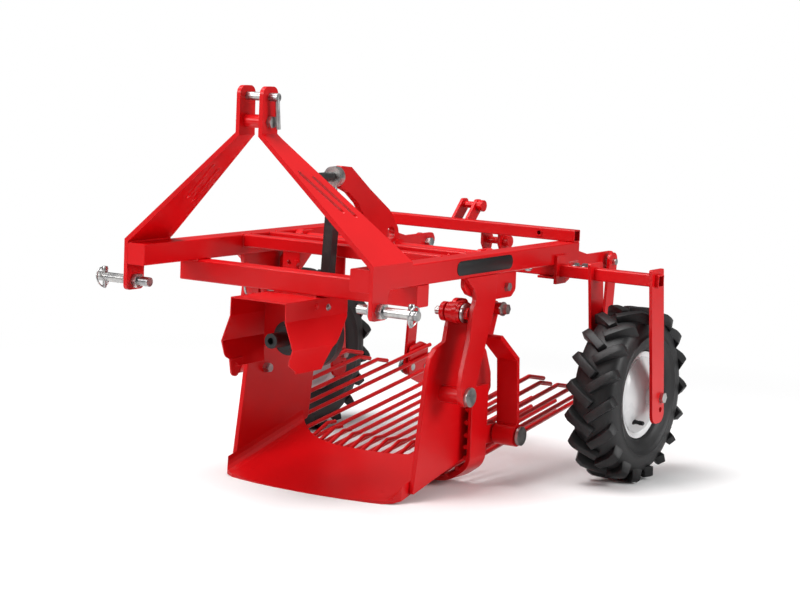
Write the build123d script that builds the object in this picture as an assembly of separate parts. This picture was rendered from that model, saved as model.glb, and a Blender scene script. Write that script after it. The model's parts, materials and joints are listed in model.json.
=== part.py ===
"""Potato digger for a small tractor. Millimetres: +X right, +Y to the rear, +Z up.

Sizes are given from the side beams' front faces and a level 16 mm above the floor; main() moves the lot.
"""

import os
from math import atan2, cos, degrees, hypot, radians, sin

from build123d import *

# ---- where the drawing sits in the part's own frame ----
MID_Y = 631.0
FLOOR = 16.0

# ---- frame ----
BEAM_OUT = 333.0
BEAM_W = 50.0
BEAM_IN = BEAM_OUT - BEAM_W
BEAM_TOP = 559.0
BEAM_LOW = BEAM_TOP - BEAM_W
BEAM_LEN = 960.0
WALL = 4.0
RUN = 0.05
FRONT_BEAM_Y = 197.0
TUBE = 30.0
REAR_TUBE_Y = BEAM_LEN - TUBE
MID_TUBE_YS = (378.0, 485.0)

# ---- hitch ----
PLATE = 10.0
EAR_IN = 26.0
EAR_TOP = 935.0
EAR_FOOT = EAR_TOP - 110
TOWER_PIN_Y = 30.0
TOP_PIN_Z = EAR_TOP - 23
SPACER_Z = EAR_TOP - 78
LOW_PIN_Z = 469.0
LOW_PIN_R = 11.0
TOP_PIN_R = 9.5

# ---- drive ----
SHAFT_Z = 356.0
SHAFT_TIP_Y = 112.0
STUB_END_Y = 166.0
STUB_R = 17.4
SHAFT_R = 16.0
BEARING_Y = 182.0
GUARD_FRONT = 58.0
GUARD_BACK = 305.0
DISC_Y = 272.0
DISC_R = 78.0
CRANK = 15.0
EYE_Y = 345.0
EYE_Z = 722.0
ROD_TOP = 676.0
EYE_BOLT_R = 11.5

# ---- rocker and swing arms ----
ROCKER_Y = 615.0
ROCKER_Z = 534.0
ROCKER_R = 18.0
LEVER_PIN = (575.0, 480.0)
HUB_Y = 652.0
HUB_Z = 110.0
ARM_IN = 296.0
ARM_OUT = 352.0
NECK_IN = 268.0
NECK_OUT = 305.0

# ---- share ----
LEG_IN = 321.0
LEG_OUT = 333.0
SIDE_IN = 250.0
SIDE_OUT = 262.0
UPPER_PIN = (450.0, 422.0)
LOWER_PIN = (443.0, 228.0)
LUG_BOLT = (620.0, 472.0)

# ---- sieve ----
BASKET_HALF = 290.0
STRAP_T = 10.0
ROD_R = 5.5
ROD_SLOPE = 0.15
REAR_HANG = (1218.0, 487.0)
REAR_SWING = (1185.0, 140.0)
HOOP_Y = 537.0
HOOP_W = 75.0
LINK_IN = 294.0
LINK_OUT = 302.0

# ---- wheels ----
AXLE_Y = 922.0
AXLE_Z = 201.0
TYRE_R = 217.0
WHEEL_XS = {1: 507.0, -1: 451.0}
WHEEL_TUBE_Y = 865.0
WHEEL_TUBE_Z = 494.0
TUBE_END = 609.0
FORK_IN = {1: 80.0, -1: 110.0}
FORK_OUT = 85.0
FORK_T = 8.0


def box(x0, x1, y0, y1, z0, z1):
    """A block between two corners."""
    block = Box(x1 - x0, y1 - y0, z1 - z0)
    return Pos((x0 + x1) / 2, (y0 + y1) / 2, (z0 + z1) / 2) * block


def bar_x(x0, x1, y, z, r):
    """A round bar along X."""
    return Pos((x0 + x1) / 2, y, z) * Rot(0, 90, 0) * Cylinder(r, abs(x1 - x0))


def bar_y(y0, y1, x, z, r):
    """A round bar along Y."""
    return Pos(x, (y0 + y1) / 2, z) * Rot(90, 0, 0) * Cylinder(r, abs(y1 - y0))


def bar_z(z0, z1, x, y, r):
    """A round bar along Z."""
    return Pos(x, y, (z0 + z1) / 2) * Cylinder(r, abs(z1 - z0))


def hex_x(x0, x1, y, z, r):
    """A hexagonal bar along X; r is its corner radius."""
    face = Plane.YZ.offset(min(x0, x1)) * Pos(y, z) * RegularPolygon(r, 6)
    return extrude(face, abs(x1 - x0), dir=(1, 0, 0))


def hex_y(y0, y1, x, z, r):
    """A hexagonal bar along Y."""
    return Pos(x, (y0 + y1) / 2, z) * Rot(90, 0, 0) * extrude(RegularPolygon(r, 6), abs(y1 - y0) / 2, both=True)


def outline(points):
    """A flat face from (a, b, corner radius) rows."""
    face = Polygon(*[(a, b) for a, b, _ in points], align=None)
    for a, b, r in points:
        if r:
            corner = face.vertices().sort_by_distance((a, b, 0))[0]
            face = fillet(corner, r)
    return face


def plate_x(points, x0, x1, holes=()):
    """A plate standing across X: rows are (y, z, corner radius), holes are (y, z, radius)."""
    face = outline(points)
    for y, z, r in holes:
        face -= Pos(y, z) * Circle(r)
    return extrude(Plane.YZ.offset(min(x0, x1)) * face, abs(x1 - x0), dir=(1, 0, 0))


def plate_y(points, y0, y1):
    """A plate standing across Y: rows are (x, z, corner radius)."""
    face = Plane.XZ.offset(-min(y0, y1)) * outline(points)
    return extrude(face, abs(y1 - y0), dir=(0, 1, 0))


def plate_z(points, z0, z1, holes=()):
    """A level plate: rows are (x, y, corner radius)."""
    face = outline(points)
    for x, y, r in holes:
        face -= Pos(x, y) * Circle(r)
    return extrude(Plane.XY.offset(z0) * face, z1 - z0, dir=(0, 0, 1))


def both(shape):
    """A right-hand shape with its left-hand mirror image."""
    return [shape, mirror(shape, Plane.YZ)]


def wire_rod(points, r, bend=0.0):
    """A round bar along a path of points, its corners bent to a radius."""
    path = FilletPolyline(*points, radius=bend) if bend else Polyline(*points)
    start = Plane(origin=path @ 0, z_dir=path % 0)
    return sweep(start * Circle(r), path=path, transition=Transition.RIGHT)


def strip_x(path, half, x0, x1):
    """A bent flat strip: its (y, z) centre line given a thickness, as wide as x0 to x1."""
    line = Polyline(*path)
    face = offset(line, half, kind=Kind.INTERSECTION, side=Side.BOTH)
    face = make_face(face.edges()) if not face.faces() else face
    return extrude(Plane.YZ.offset(min(x0, x1)) * face, abs(x1 - x0), dir=(1, 0, 0))


def square_tube(x0, x1, y0, z0, size, wall, cap=False):
    """A square tube along X with open ends."""
    outer = box(x0, x1, y0, y0 + size, z0, z0 + size)
    outer = fillet(outer.edges().filter_by(Axis.X), wall)
    if cap:
        return outer
    return outer - box(x0 - 1, x1 + 1, y0 + wall, y0 + size - wall, z0 + wall, z0 + size - wall)


# ---------------------------------------------------------------- frame

def side_beams():
    """Two box beams, capped in front and open behind."""
    outer = box(BEAM_IN, BEAM_OUT, 0, BEAM_LEN, BEAM_LOW, BEAM_TOP)
    outer = fillet(outer.edges().filter_by(Axis.Y), 4)
    inner = box(BEAM_IN + WALL, BEAM_OUT - WALL, WALL, BEAM_LEN + 1, BEAM_LOW + WALL, BEAM_TOP - WALL)
    return both(outer - inner)


def front_cross_beam():
    """The box beam under the side beams."""
    return [square_tube(-BEAM_OUT, BEAM_OUT, FRONT_BEAM_Y, BEAM_LOW - BEAM_W, BEAM_W, WALL, cap=True)]


def middle_cross_tubes():
    """Two small tubes between the side beams."""
    return [square_tube(-BEAM_IN, BEAM_IN, y, BEAM_TOP - TUBE, TUBE, 3, cap=True) for y in MID_TUBE_YS]


def rear_cross_tube():
    """The open tube lying on the beams' rear ends."""
    tube = square_tube(-BEAM_OUT, BEAM_OUT, REAR_TUBE_Y, BEAM_TOP, TUBE, 3)
    tube += bar_y(REAR_TUBE_Y - 2, REAR_TUBE_Y + 1, 233, BEAM_TOP + 16, 9)
    return [tube - bar_y(REAR_TUBE_Y - 4, REAR_TUBE_Y + 4, 233, BEAM_TOP + 16, 5.5)]


def rear_clevis():
    """The two pairs of plates behind the rear tube, one above and one below."""
    y, z = BEAM_LEN, BEAM_TOP
    upper = ((y, z + 1, 0), (y, z + 24, 0), (y + 50, z + 77, 10), (y + 76, z + 77, 10), (y + 76, z + 50, 8), (y + 26, z + 1, 6))
    lower = ((y, z + 30, 0), (y + 25, z + 21, 6), (y + 52, z - 14, 12), (y + 44, z - 47, 12), (y + 15, z - 51, 8), (y, z - 29, 0))
    pairs = (
        # outline, first x, second x, pin y, pin z
        (upper, -48, -7, y + 60, z + 61),
        (lower, 46, 96, y + 26, z - 21),
    )
    shapes = []
    for rows, x0, x1, pin_y, pin_z in pairs:
        shape = plate_x(rows, x0, x0 + 8) + plate_x(rows, x1, x1 + 8)
        shape += bar_x(x0 - 4, x1 + 9, pin_y, pin_z, 9) + bar_x(x1 + 8, x1 + 24, pin_y, pin_z, 15)
        shapes.append(shape)
    return shapes


def tube_straps():
    """The short flat straps that hang from the first middle tube."""
    low = BEAM_TOP - TUBE
    y = MID_TUBE_YS[0] + 4
    wide = box(-166, -116, y, y + 6, 462, low) - bar_y(y - 1, y + 7, -148, 503, 6)
    return [wide + bar_y(y - 12, y + 7, -124, 503, 8), box(-12, 12, y, y + 6, 462, low)]


# ---------------------------------------------------------------- hitch

TOWER_SIDE = (
    (0, 448, 12), (62, 448, 12), (62, 500, 14), (76, 524, 20),
    (158, 540, 10), (158, 566, 30), (60, EAR_FOOT - 1, 40), (58, EAR_TOP, 18), (2, EAR_TOP, 18), (0, 566, 0),
)
TOWER_BEND = (
    (BEAM_OUT, 440), (BEAM_OUT, 561), (EAR_IN, EAR_FOOT), (EAR_IN, EAR_TOP + 5),
    (EAR_IN + PLATE, EAR_TOP + 5), (EAR_IN + PLATE, EAR_FOOT + 6), (BEAM_OUT + PLATE, 567), (BEAM_OUT + PLATE, 440),
)
TOWER_SLOTS = (
    # name, lower y, lower z, upper y, upper z
    ("front slot", 56, EAR_FOOT - 151, 21.5, EAR_FOOT - 75),
    ("rear slot", 90, EAR_FOOT - 161.5, 58, EAR_FOOT - 86),
)


def hitch_tower():
    """Two bent plates that lean together at the top hitch."""
    bent = plate_y([(x, z, 0) for x, z in TOWER_BEND], 0, 170)
    side = plate_x(TOWER_SIDE, EAR_IN - 1, BEAM_OUT + PLATE + 1)
    half = bent & side
    for _, y0, z0, y1, z1 in TOWER_SLOTS:
        slot = Plane.YZ * Pos((y0 + y1) / 2, (z0 + z1) / 2) * SlotCenterToCenter(
            hypot(y1 - y0, z1 - z0), 11, rotation=degrees(atan2(z1 - z0, y1 - y0)))
        half -= extrude(slot, 400, dir=(1, 0, 0))
    half -= bar_x(EAR_IN - 2, EAR_IN + PLATE + 2, TOWER_PIN_Y, TOP_PIN_Z, TOP_PIN_R + RUN)
    half -= bar_x(EAR_IN - 2, EAR_IN + PLATE + 2, TOWER_PIN_Y, SPACER_Z, 8)
    half -= bar_x(BEAM_OUT - 2, BEAM_OUT + PLATE + 2, TOWER_PIN_Y, LOW_PIN_Z, LOW_PIN_R)
    return both(half)


def tower_spacer():
    """The tube between the two ears with the bolt through it."""
    tube = bar_x(-EAR_IN, EAR_IN, TOWER_PIN_Y, SPACER_Z, 15) - bar_x(-EAR_IN, EAR_IN, TOWER_PIN_Y, SPACER_Z, 8)
    return [tube]


def tower_bolt():
    """The bolt that holds the ears together."""
    out = EAR_IN + PLATE
    bolt = bar_x(-out - 16, out + 1, TOWER_PIN_Y, SPACER_Z, 8)
    bolt += hex_x(out, out + 10, TOWER_PIN_Y, SPACER_Z, 14)
    bolt += hex_x(-out - 10, -out, TOWER_PIN_Y, SPACER_Z, 14)
    return [bolt]


def top_hitch_pin():
    """The top link pin with its bent handle."""
    x = EAR_IN + PLATE + 18
    pin = bar_x(-EAR_IN - PLATE - 14, x + 4, TOWER_PIN_Y, TOP_PIN_Z, TOP_PIN_R)
    return [pin + bar_along((x, TOWER_PIN_Y, TOP_PIN_Z), (x, TOWER_PIN_Y + 8, TOP_PIN_Z - 70), 5)]


def lower_hitch_pins():
    """The two lower link pins with their nuts."""
    y, z = TOWER_PIN_Y, LOW_PIN_Z
    pin = bar_x(289, 442, y, z, LOW_PIN_R)
    pin += hex_x(BEAM_OUT + PLATE, BEAM_OUT + PLATE + 14, y, z, 18)
    pin += hex_x(BEAM_OUT - 14, BEAM_OUT, y, z, 18)
    pin -= bar_z(z - 20, z + 20, 424, y, 5)
    return both(pin)


# ---------------------------------------------------------------- drive

GUARD_OUTER = ((-77, 455), (77, 455), (78, 412), (101, 351), (82, 291))
GUARD_INNER = ((79, 292), (97.6, 351), (75, 411.5), (74, 452))
GUARD_SIDE = (
    # y, z, corner radius
    (GUARD_FRONT, 460, 0), (GUARD_BACK, 460, 0), (GUARD_BACK, 408, 24), (252, 366, 0), (219, 343, 16), (204, 306, 0), (199, 285, 0),
    (98, 285, 0), (98, 296, 10), (GUARD_FRONT, 316, 12),
)
GUARD_TAB = ((70, 310, 0), (118, 310, 0), (118, 290, 16), (100, 266, 14), (78, 270, 14))


def shaft_guard():
    """The folded cover over the shaft, open in front."""
    rows = list(GUARD_OUTER[1:]) + list(GUARD_INNER)
    rows += [(-x, z) for x, z in reversed(GUARD_INNER)] + [(-x, z) for x, z in reversed(GUARD_OUTER[1:])]
    shell = plate_y([(x, z, 0) for x, z in rows], GUARD_FRONT, GUARD_BACK + 2)
    shell = shell & plate_x(GUARD_SIDE, -120, 120)
    shell += box(-60, 60, 200, 292, 452, 459)
    back = box(-76, 76, 190, 194, 330, 455) - bar_y(185, 200, 0, SHAFT_Z, 32)
    shell += back & plate_y([(x, z, 0) for x, z in ((-76, 456), (76, 456), (76, 412), (97, 351), (88, 320), (-88, 320), (-97, 351), (-76, 412))], 180, 200)
    tab = plate_x(GUARD_TAB, -86, -82)
    return [shell + tab]


def drive_bearing():
    """The flanged bearing behind the guard's opening."""
    y = BEARING_Y
    body = bar_y(y - 4, y + 8, 0, SHAFT_Z, 40)
    body += bar_y(STUB_END_Y, y + 6, 0, SHAFT_Z, 28)
    return [body - bar_y(y - 30, y + 30, 0, SHAFT_Z, SHAFT_R + RUN)]


def drive_shaft():
    """The stub for the tractor's drive and the shaft behind it."""
    stub = bar_y(SHAFT_TIP_Y, STUB_END_Y - 0.5, 0, SHAFT_Z, STUB_R)
    stub -= bar_y(SHAFT_TIP_Y - 1, SHAFT_TIP_Y + 12, 0, SHAFT_Z, 8)
    return [stub + bar_y(STUB_END_Y - 10, DISC_Y, 0, SHAFT_Z, SHAFT_R)]


def flywheel():
    """The heavy disc with its hub."""
    disc = bar_y(DISC_Y, DISC_Y + 26, 0, SHAFT_Z, DISC_R)
    disc = chamfer(disc.edges(), 2)
    disc += bar_y(DISC_Y + 20, DISC_Y + 30, -CRANK, SHAFT_Z, 20)
    return [disc]


def connecting_rod():
    """The upright square rod: big end below, ball end above."""
    y = EYE_Y
    rows = ((-CRANK - 12.5, SHAFT_Z, 0), (-12.5, ROD_TOP, 0), (12.5, ROD_TOP, 0), (12.5 - CRANK, SHAFT_Z, 0))
    rod = plate_y(rows, y - 12.5, y + 12.5)
    return [rod + bar_y(y - 24, y + 14, -CRANK, SHAFT_Z, 26)]


def rod_end():
    """The zinc ball end on top of the connecting rod."""
    whole = bar_y(EYE_Y - 10, EYE_Y + 10, 0, EYE_Z, 24)
    whole += bar_z(ROD_TOP, EYE_Z - 16, 0, EYE_Y, 8)
    whole += bar_z(ROD_TOP, ROD_TOP + 9, 0, EYE_Y, 14)
    return [whole - bar_y(EYE_Y - 11, EYE_Y + 11, 0, EYE_Z, EYE_BOLT_R + RUN)]


# ---------------------------------------------------------------- rocker

ROCKER_OUTLINE = (
    # y, z, corner radius
    (362, 747, 4), (405, 743, 12), (487, 688, 0), (580, 632, 30), (620, 588, 30), (640, 520, 22), (606, 505, 18),
    (560, 560, 10), (520, 588, 20), (474, 615, 20), (440, 655, 20), (400, 682, 16), (362, 696, 4),
)


def rocker_shaft():
    """The cross shaft between the side beams."""
    return [bar_x(-BEAM_IN + 1, BEAM_IN - 1, ROCKER_Y, ROCKER_Z, ROCKER_R)]


def rocker_bearings():
    """The rings on the beams that the cross shaft turns in."""
    ring = bar_x(BEAM_IN - 15, BEAM_IN, ROCKER_Y, ROCKER_Z - 0.01, 24.5)
    return both(ring - bar_x(BEAM_IN - 16, BEAM_IN + 1, ROCKER_Y, ROCKER_Z, ROCKER_R + RUN))


def rocker_arm():
    """The bent plate lifted by the connecting rod."""
    arm = plate_x(ROCKER_OUTLINE, -8, 8, holes=((588, 574, 17.5),))
    arm += box(-18, 8, 374, 390, 702, 718)
    arm += bar_y(EYE_Y + 15, 372, 0, EYE_Z, 16)
    arm += bar_x(-20, 20, ROCKER_Y, ROCKER_Z, ROCKER_R + 8)
    return [arm - bar_x(-21, 21, ROCKER_Y, ROCKER_Z, ROCKER_R)]


def eye_bolt():
    """The bolt through the ball end, threaded into the bent plate."""
    bolt = bar_y(EYE_Y - 60, EYE_Y + 15, 0, EYE_Z, EYE_BOLT_R)
    return [bolt]


def rocker_levers():
    """The two levers on the cross shaft that push the swing arms."""
    y, z = LEVER_PIN
    rows = ((ROCKER_Y - 30, ROCKER_Z + 24, 10), (ROCKER_Y + 30, ROCKER_Z + 24, 10), (ROCKER_Y + 30, ROCKER_Z - 28, 18),
            (y + 14, z - 20, 12), (y - 20, z - 16, 12))
    lever = plate_x(rows, 254, 266, holes=((ROCKER_Y, ROCKER_Z, ROCKER_R),))
    return both(lever + bar_x(260, 300, y, z, 8))


ARM_NECK = (
    # y, z, corner radius
    (426, 448, 22), (474, 448, 14), (548, 420, 10), (556, 500, 16), (594, 500, 16), (596, 440, 14), (628, 434, 12),
    (628, 404, 12), (600, 332, 0), (560, 361, 0), (500, 398, 10), (426, 396, 22),
)
ARM_STRAP = (
    # y, z
    (556, 358), (640, 297), (HUB_Y + 2, HUB_Z + 20),
)


def swing_arms():
    """The two bent arms that carry the sieve's front, hung on the share's upper bolts."""
    strap = strip_x(ARM_STRAP, 6, ARM_IN, ARM_OUT)
    strap += bar_x(ARM_IN, ARM_OUT + 1, HUB_Y, HUB_Z, 27)
    strap += plate_x(ARM_NECK, ARM_IN - 11, ARM_IN + 1, holes=((*LEVER_PIN, 12),))
    strap += bar_x(NECK_IN, NECK_OUT, *UPPER_PIN, 24)
    strap += bar_x(290, 318, 610, 419, 15)
    strap -= bar_x(ARM_IN - 5, ARM_OUT + 5, HUB_Y, HUB_Z, 11)
    strap -= bar_x(250, 330, *UPPER_PIN, 14 + RUN)
    return both(strap)


def arm_bolts():
    """The bolts in the swing arms' bosses."""
    bolt = bar_x(318, 322, 610, 419, 17) + hex_x(322, 334, 610, 419, 13)
    return both(bolt)


def beam_lugs():
    """The wide lobed plates under the side beams, behind the legs."""
    rows = (
        (421, BEAM_LOW, 0), (421, 486, 14), (440, 468, 12), (478, 456, 20), (570, 446, 20), (645, 446, 18),
        (665, 462, 14), (664, BEAM_LOW, 0),
    )
    return both(plate_x(rows, LEG_IN - 10, LEG_IN, holes=((*LUG_BOLT, 8),)))


def lug_bolts():
    """The short bolts in the lobed plates."""
    bolt = bar_x(LEG_IN - 17, LEG_IN + 4, *LUG_BOLT, 7.95)
    return both(bolt + hex_x(LEG_IN, LEG_IN + 9, *LUG_BOLT, 11))


# ---------------------------------------------------------------- share

LEG_OUTLINE = (
    (411, 509, 0), (452, 478, 20), (460, 455, 10), (446, 428, 0), (438, 363, 0), (413, 291, 0), (407, 254, 6),
    (414, 206, 22), (470, 206, 22), (476, 246, 10), (517, 355, 0), (540, 412, 10), (551, 447, 0), (552, 509, 0),
)
SIDE_OUTLINE = (
    (448, 350, 8), (406, 338, 12), (384, 318, 12), (376, 290, 0), (362, 199, 0), (330, 2, 4), (636, 76, 12),
    (653, 194, 12), (671, 214, 12), (668, 252, 20), (641, 310, 20), (560, 372, 30), (545, 444, 24), (492, 450, 24),
    (468, 418, 10), (456, 384, 10),
)
BLADE_SLOPE = 0.24
BLADE_TIP = (245.0, -14.0)
BLADE_BACK = 645.0
BLADE_PLAN = (
    # x, front y, rear y
    (0, 245, 504), (70, 247, 506), (130, 253, 520), (180, 261, 549), (215, 270, 580), (238, 282, 602), (250, 300, 612),
)
BLADE_CORNER = ((222, 0), (234, 2.5), (242, 8), (247, 15), (250, 26), (250, -1), (222, -1))
FINGER_XS = (-170, -136, -102, -68, -34, 0, 34, 68, 102, 136, 170)


def blade_top(y):
    """The height of the blade's upper face."""
    return BLADE_TIP[1] + BLADE_SLOPE * (y - BLADE_TIP[0])


def share_legs():
    """The straps under the side beams that carry the share."""
    return both(plate_x(LEG_OUTLINE, LEG_IN, LEG_OUT, holes=((*LOWER_PIN, 10),)))


def share_sides():
    """The upright side plates of the share, each with an ear for the upper bolt."""
    side = plate_x(SIDE_OUTLINE, SIDE_IN, SIDE_OUT) + bar_x(SIDE_IN, SIDE_OUT, *UPPER_PIN, 23)
    for pin in (UPPER_PIN, LOWER_PIN):
        side -= bar_x(SIDE_IN - 1, SIDE_OUT + 1, *pin, 10)
    return both(side)


def share_blade():
    """The digging blade: a sloped plate with turned-up sides and fingers behind."""
    y0, z0 = BLADE_TIP
    back = BLADE_BACK
    rows = ((y0 - 1, z0 - 2, 0), (y0 - 1, z0, 0), (y0, z0, 0), (back, blade_top(back), 0),
            (back, blade_top(back) - 8, 0), (y0 + 25, z0 - 2, 0))
    plate = plate_x(rows, -SIDE_IN, SIDE_IN)
    along = Vector(0, 1, BLADE_SLOPE)
    for side in (1, -1):
        face = make_face(Polyline(*[(side * x, 270, blade_top(270) + h) for x, h in BLADE_CORNER], close=True))
        plate += extrude(face, 375 * along.length, dir=along.normalized())
    front = [(x, y) for x, y, _ in BLADE_PLAN]
    rear = [(x, y) for x, _, y in BLADE_PLAN]
    edge = [(-x, y) for x, y in reversed(front[1:])] + front + list(reversed(rear)) + [(-x, y) for x, y in rear[1:]]
    plate = plate & extrude(Plane.XY.offset(-40) * Polygon(*edge, align=None), 200)
    for x in FINGER_XS:
        y = rear_edge(abs(x))
        z = blade_top(y) - 10
        path = [(x, y - 26, z - 26 * BLADE_SLOPE), (x, y + 64, z + 29), (x, y + 98, z + 28)]
        plate += wire_rod(path, 5, 14)
    return [plate]


def rear_edge(x):
    """Where the blade ends, at a distance x from its middle."""
    for (x0, _, y0), (x1, _, y1) in zip(BLADE_PLAN, BLADE_PLAN[1:]):
        if x <= x1:
            return y0 + (y1 - y0) * (x - x0) / (x1 - x0)
    return BLADE_PLAN[-1][2]


def share_spacers():
    """The tubes that hold each side plate off its leg."""
    low = bar_x(SIDE_OUT, LEG_IN, *LOWER_PIN, 20) - bar_x(SIDE_OUT, LEG_IN, *LOWER_PIN, 10)
    high = bar_x(SIDE_OUT, LEG_IN, *UPPER_PIN, 14) - bar_x(SIDE_OUT, LEG_IN, *UPPER_PIN, 10)
    return both(low) + both(high)


def share_bolts():
    """The zinc bolts of the share."""
    low = bar_x(SIDE_IN - 16, LEG_OUT + 2, *LOWER_PIN, 10)
    low += bar_x(LEG_OUT, LEG_OUT + 8, *LOWER_PIN, 23)
    low += hex_x(SIDE_IN - 12, SIDE_IN, *LOWER_PIN, 12.5)
    high = bar_x(SIDE_IN - 18, LEG_IN, *UPPER_PIN, 10)
    return both(low) + both(high)


def pin_washers():
    """The zinc washers beside the swing arms' upper ends."""
    washer = bar_x(308, 313, *UPPER_PIN, 23) - bar_x(300, 320, *UPPER_PIN, 14)
    return both(washer)


# ---------------------------------------------------------------- sieve

HOOP_OUTLINE = (
    # x, z, corner radius outside, corner radius inside
    (BASKET_HALF, 234, 0, 0), (BASKET_HALF, 40, 50, 42), (BASKET_HALF - 58, -2, 80, 72), (BASKET_HALF - 144, -8, 0, 0),
)
SIDE_RODS = (
    # name, height at the hoop, y where it ends or dips, length of the dipped end
    ("first", 184, 838, 76),
    ("second", 152, 898, 55),
    ("third", 121, 991, 48),
    ("fourth", 93, 1259, 0),
    ("fifth", 66, 1259, 0),
)
DIP_SLOPE = 0.18
BOTTOM_RODS = (
    # x, height at the hoop, y where it ends
    (18, 7.2, 1196), (54, 7.2, 1130), (90, 7.2, 1196), (126, 7.2, 1130), (162, 8.4, 1196), (196, 10.9, 1130), (228, 18.0, 1196),
    (257, 38.6, 1196),
)
HOOP_MID_Y = HOOP_Y + HOOP_W / 2


def hoop_ring(drop):
    """One side of the hoop's outline, moved inwards by the strap's thickness or not at all."""
    ring = []
    for x, z, outer_r, inner_r in HOOP_OUTLINE:
        x_in = x - drop if x > BASKET_HALF - 20 else x - drop * 0.55 if x > BASKET_HALF - 90 else x
        z_in = z if z > 100 else z + drop
        ring.append((x_in, z_in, inner_r if drop else outer_r))
    return ring + [(-x, z, r) for x, z, r in reversed(ring)]


def sieve_hoop():
    """The U-shaped strap that carries the rods."""
    outer = plate_y(hoop_ring(0), HOOP_Y, HOOP_Y + HOOP_W)
    inner = plate_y([(x, z + (5 if z > 100 else 0), r) for x, z, r in hoop_ring(STRAP_T)], HOOP_Y - 1, HOOP_Y + HOOP_W + 1)
    hoop = outer - inner
    rows = ((HOOP_Y + 40, HUB_Z - 23, 0), (HUB_Y + 24, HUB_Z - 23, 16), (HUB_Y + 24, HUB_Z + 23, 16), (HOOP_Y + 40, HUB_Z + 23, 0))
    tab = plate_x(rows, BASKET_HALF - STRAP_T, BASKET_HALF)
    for part in both(tab):
        hoop += part
    for part in both(bar_x(BASKET_HALF - STRAP_T - 5, BASKET_HALF + 5, HUB_Y, HUB_Z, 11)):
        hoop -= part
    return [hoop]


def sieve_rods():
    """The bars the crop is shaken over: a row up each side and a row along the bottom."""
    rods = []
    x = BASKET_HALF - STRAP_T - ROD_R + 0.4
    for _, height, end, dip in SIDE_RODS:
        start = (x, HOOP_Y + 2, height - ROD_SLOPE * (HOOP_MID_Y - HOOP_Y))
        top = (x, end, height + ROD_SLOPE * (end - HOOP_MID_Y))
        path = [start, top] + ([(x, end + dip, top[2] - DIP_SLOPE * dip)] if dip else [])
        rods += both(wire_rod(path, ROD_R, 14 if dip else 0))
    for x, height, end in BOTTOM_RODS:
        start = (x, HOOP_Y - 4, height - ROD_SLOPE * (HOOP_MID_Y - HOOP_Y))
        rods += both(bar_along(start, (x, end, height + ROD_SLOPE * (end - HOOP_MID_Y)), ROD_R))
    return rods


def bar_along(start, end, r):
    """A round bar between two points."""
    axis = Vector(*end) - Vector(*start)
    return extrude(Plane(origin=start, z_dir=axis) * Circle(r), axis.length)


def sieve_brackets():
    """The upright plates at the sieve's rear corners."""
    y, z = REAR_SWING
    inner = BASKET_HALF - STRAP_T + 0.4
    rows = ((y - 24, 124, 18), (y - 14, 197, 14), (y + 38, 208, 16), (y + 74, 196, 16), (y + 76, 150, 0), (y + 74, 76, 14),
            (y + 4, 104, 14))
    plate = plate_x(rows, inner, inner + 7.6)
    plate += bar_x(inner, LINK_IN - 2, y, z, 20)
    return both(plate - bar_x(inner - 5, LINK_IN, y, z, 10))


def hanger_plates():
    """The plates behind the beams that the rear links hang from."""
    y, z = REAR_HANG
    rows = ((880, 512, 4), (880, 552, 10), (940, 552, 10), (1110, 512, 10), (y + 30, 512, 14), (y + 44, 490, 14),
            (y + 10, 462, 20), (1060, 470, 10), (960, 512, 10))
    return both(plate_x(rows, BEAM_IN - 10, BEAM_IN, holes=((y, z, 8.05),)))


def hanger_pins():
    """The bolts of the rear links' upper ends."""
    y, z = REAR_HANG
    pin = bar_x(BEAM_IN - 16, LINK_OUT + 8, y, z, 8)
    return both(pin + hex_x(BEAM_IN - 24, BEAM_IN - 10, y, z, 14))


def rear_links():
    """The two flat links that the sieve's rear swings on."""
    (y0, z0), (y1, z1) = REAR_HANG, REAR_SWING
    rows = ((y0 - 22, z0 + 24, 20), (y0 + 22, z0 + 24, 20), (y1 + 22, z1 - 24, 20), (y1 - 22, z1 - 24, 20))
    return both(plate_x(rows, LINK_IN, LINK_OUT, holes=((y0, z0, 8.05), (y1, z1, 14))))


def link_bolts():
    """The bolts of the rear links' lower ends."""
    y, z = REAR_SWING
    bolt = bar_x(BASKET_HALF - STRAP_T + 1, LINK_OUT + 8, y, z, 9.95)
    bolt += bar_x(LINK_OUT + 5, LINK_OUT + 8, y, z, 21)
    return both(bolt + hex_x(LINK_OUT + 8, LINK_OUT + 18, y, z, 16))


def hub_bolts():
    """The bolts that join the swing arms to the sieve."""
    pin = bar_x(BASKET_HALF - STRAP_T + 1, ARM_OUT + 6, HUB_Y, HUB_Z, 10.95)
    return both(pin + bar_x(ARM_OUT + 6, ARM_OUT + 13, HUB_Y, HUB_Z, 23))


# ---------------------------------------------------------------- wheels

def wheel_tube():
    """The square tube that carries both wheels."""
    half = TUBE / 2
    return [square_tube(-TUBE_END, TUBE_END, WHEEL_TUBE_Y - half, BEAM_LOW - TUBE, TUBE, 3)]


def tube_clamps():
    """The folded plates that hold the wheel tube under the side beams."""
    y = WHEEL_TUBE_Y
    low = BEAM_LOW - TUBE
    rows = ((y - 33, BEAM_TOP - 26, 0), (y + 25, BEAM_TOP - 26, 0), (y + 35, low - 9, 0), (y + 15, low - 17, 4), (y - 33, low - 17, 0))
    plate = plate_x(rows, BEAM_OUT, BEAM_OUT + 8)
    plate -= box(BEAM_OUT - 2, BEAM_OUT + 10, y - 15, y + 15, low, BEAM_LOW)
    return both(plate + box(BEAM_IN, BEAM_OUT + 2, y - 25, y + 23, low - 6, low))


FORK_PLATE = (
    # y, z, corner radius
    (WHEEL_TUBE_Y - 36, BEAM_LOW + 13, 4), (WHEEL_TUBE_Y + 30, BEAM_LOW + 13, 4), (AXLE_Y + 22, AXLE_Z - 62, 24),
    (AXLE_Y - 42, AXLE_Z - 62, 24),
)


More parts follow.
